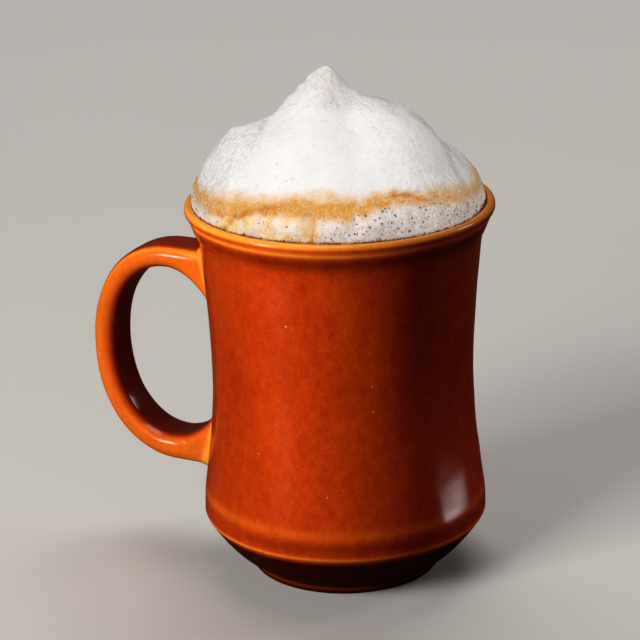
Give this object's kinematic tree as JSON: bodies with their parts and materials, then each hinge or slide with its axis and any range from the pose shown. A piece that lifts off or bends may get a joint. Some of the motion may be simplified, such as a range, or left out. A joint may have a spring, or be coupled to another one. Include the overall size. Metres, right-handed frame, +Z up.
{
  "type": "cortadito",
  "caption": "Waisted brown glazed mug with a looped handle, filled with milky coffee under a tall peaked head of white milk foam stained tan near the lip.",
  "frame": {"origin": "bottom centre of the bounding box, on the surface that the mug stands on, 17.6 mm from the mug's own axis towards the handle", "axes": "+Z up along the mug's axis, -X towards the handle, +Y across the handle"},
  "size_m": [0.1182, 0.083, 0.1404],
  "materials": {
    "glaze": "glossy amber-brown glaze, lighter on the lip, ridge and handle edges",
    "milky_coffee": "smooth liquid",
    "milk_foam": "soft fine bubbles, tan where coffee has soaked in"
  },
  "bodies": {
    "root": {"mug": "glaze", "coffee": "milky_coffee", "foam": "milk_foam"}
  },
  "joints": []
}
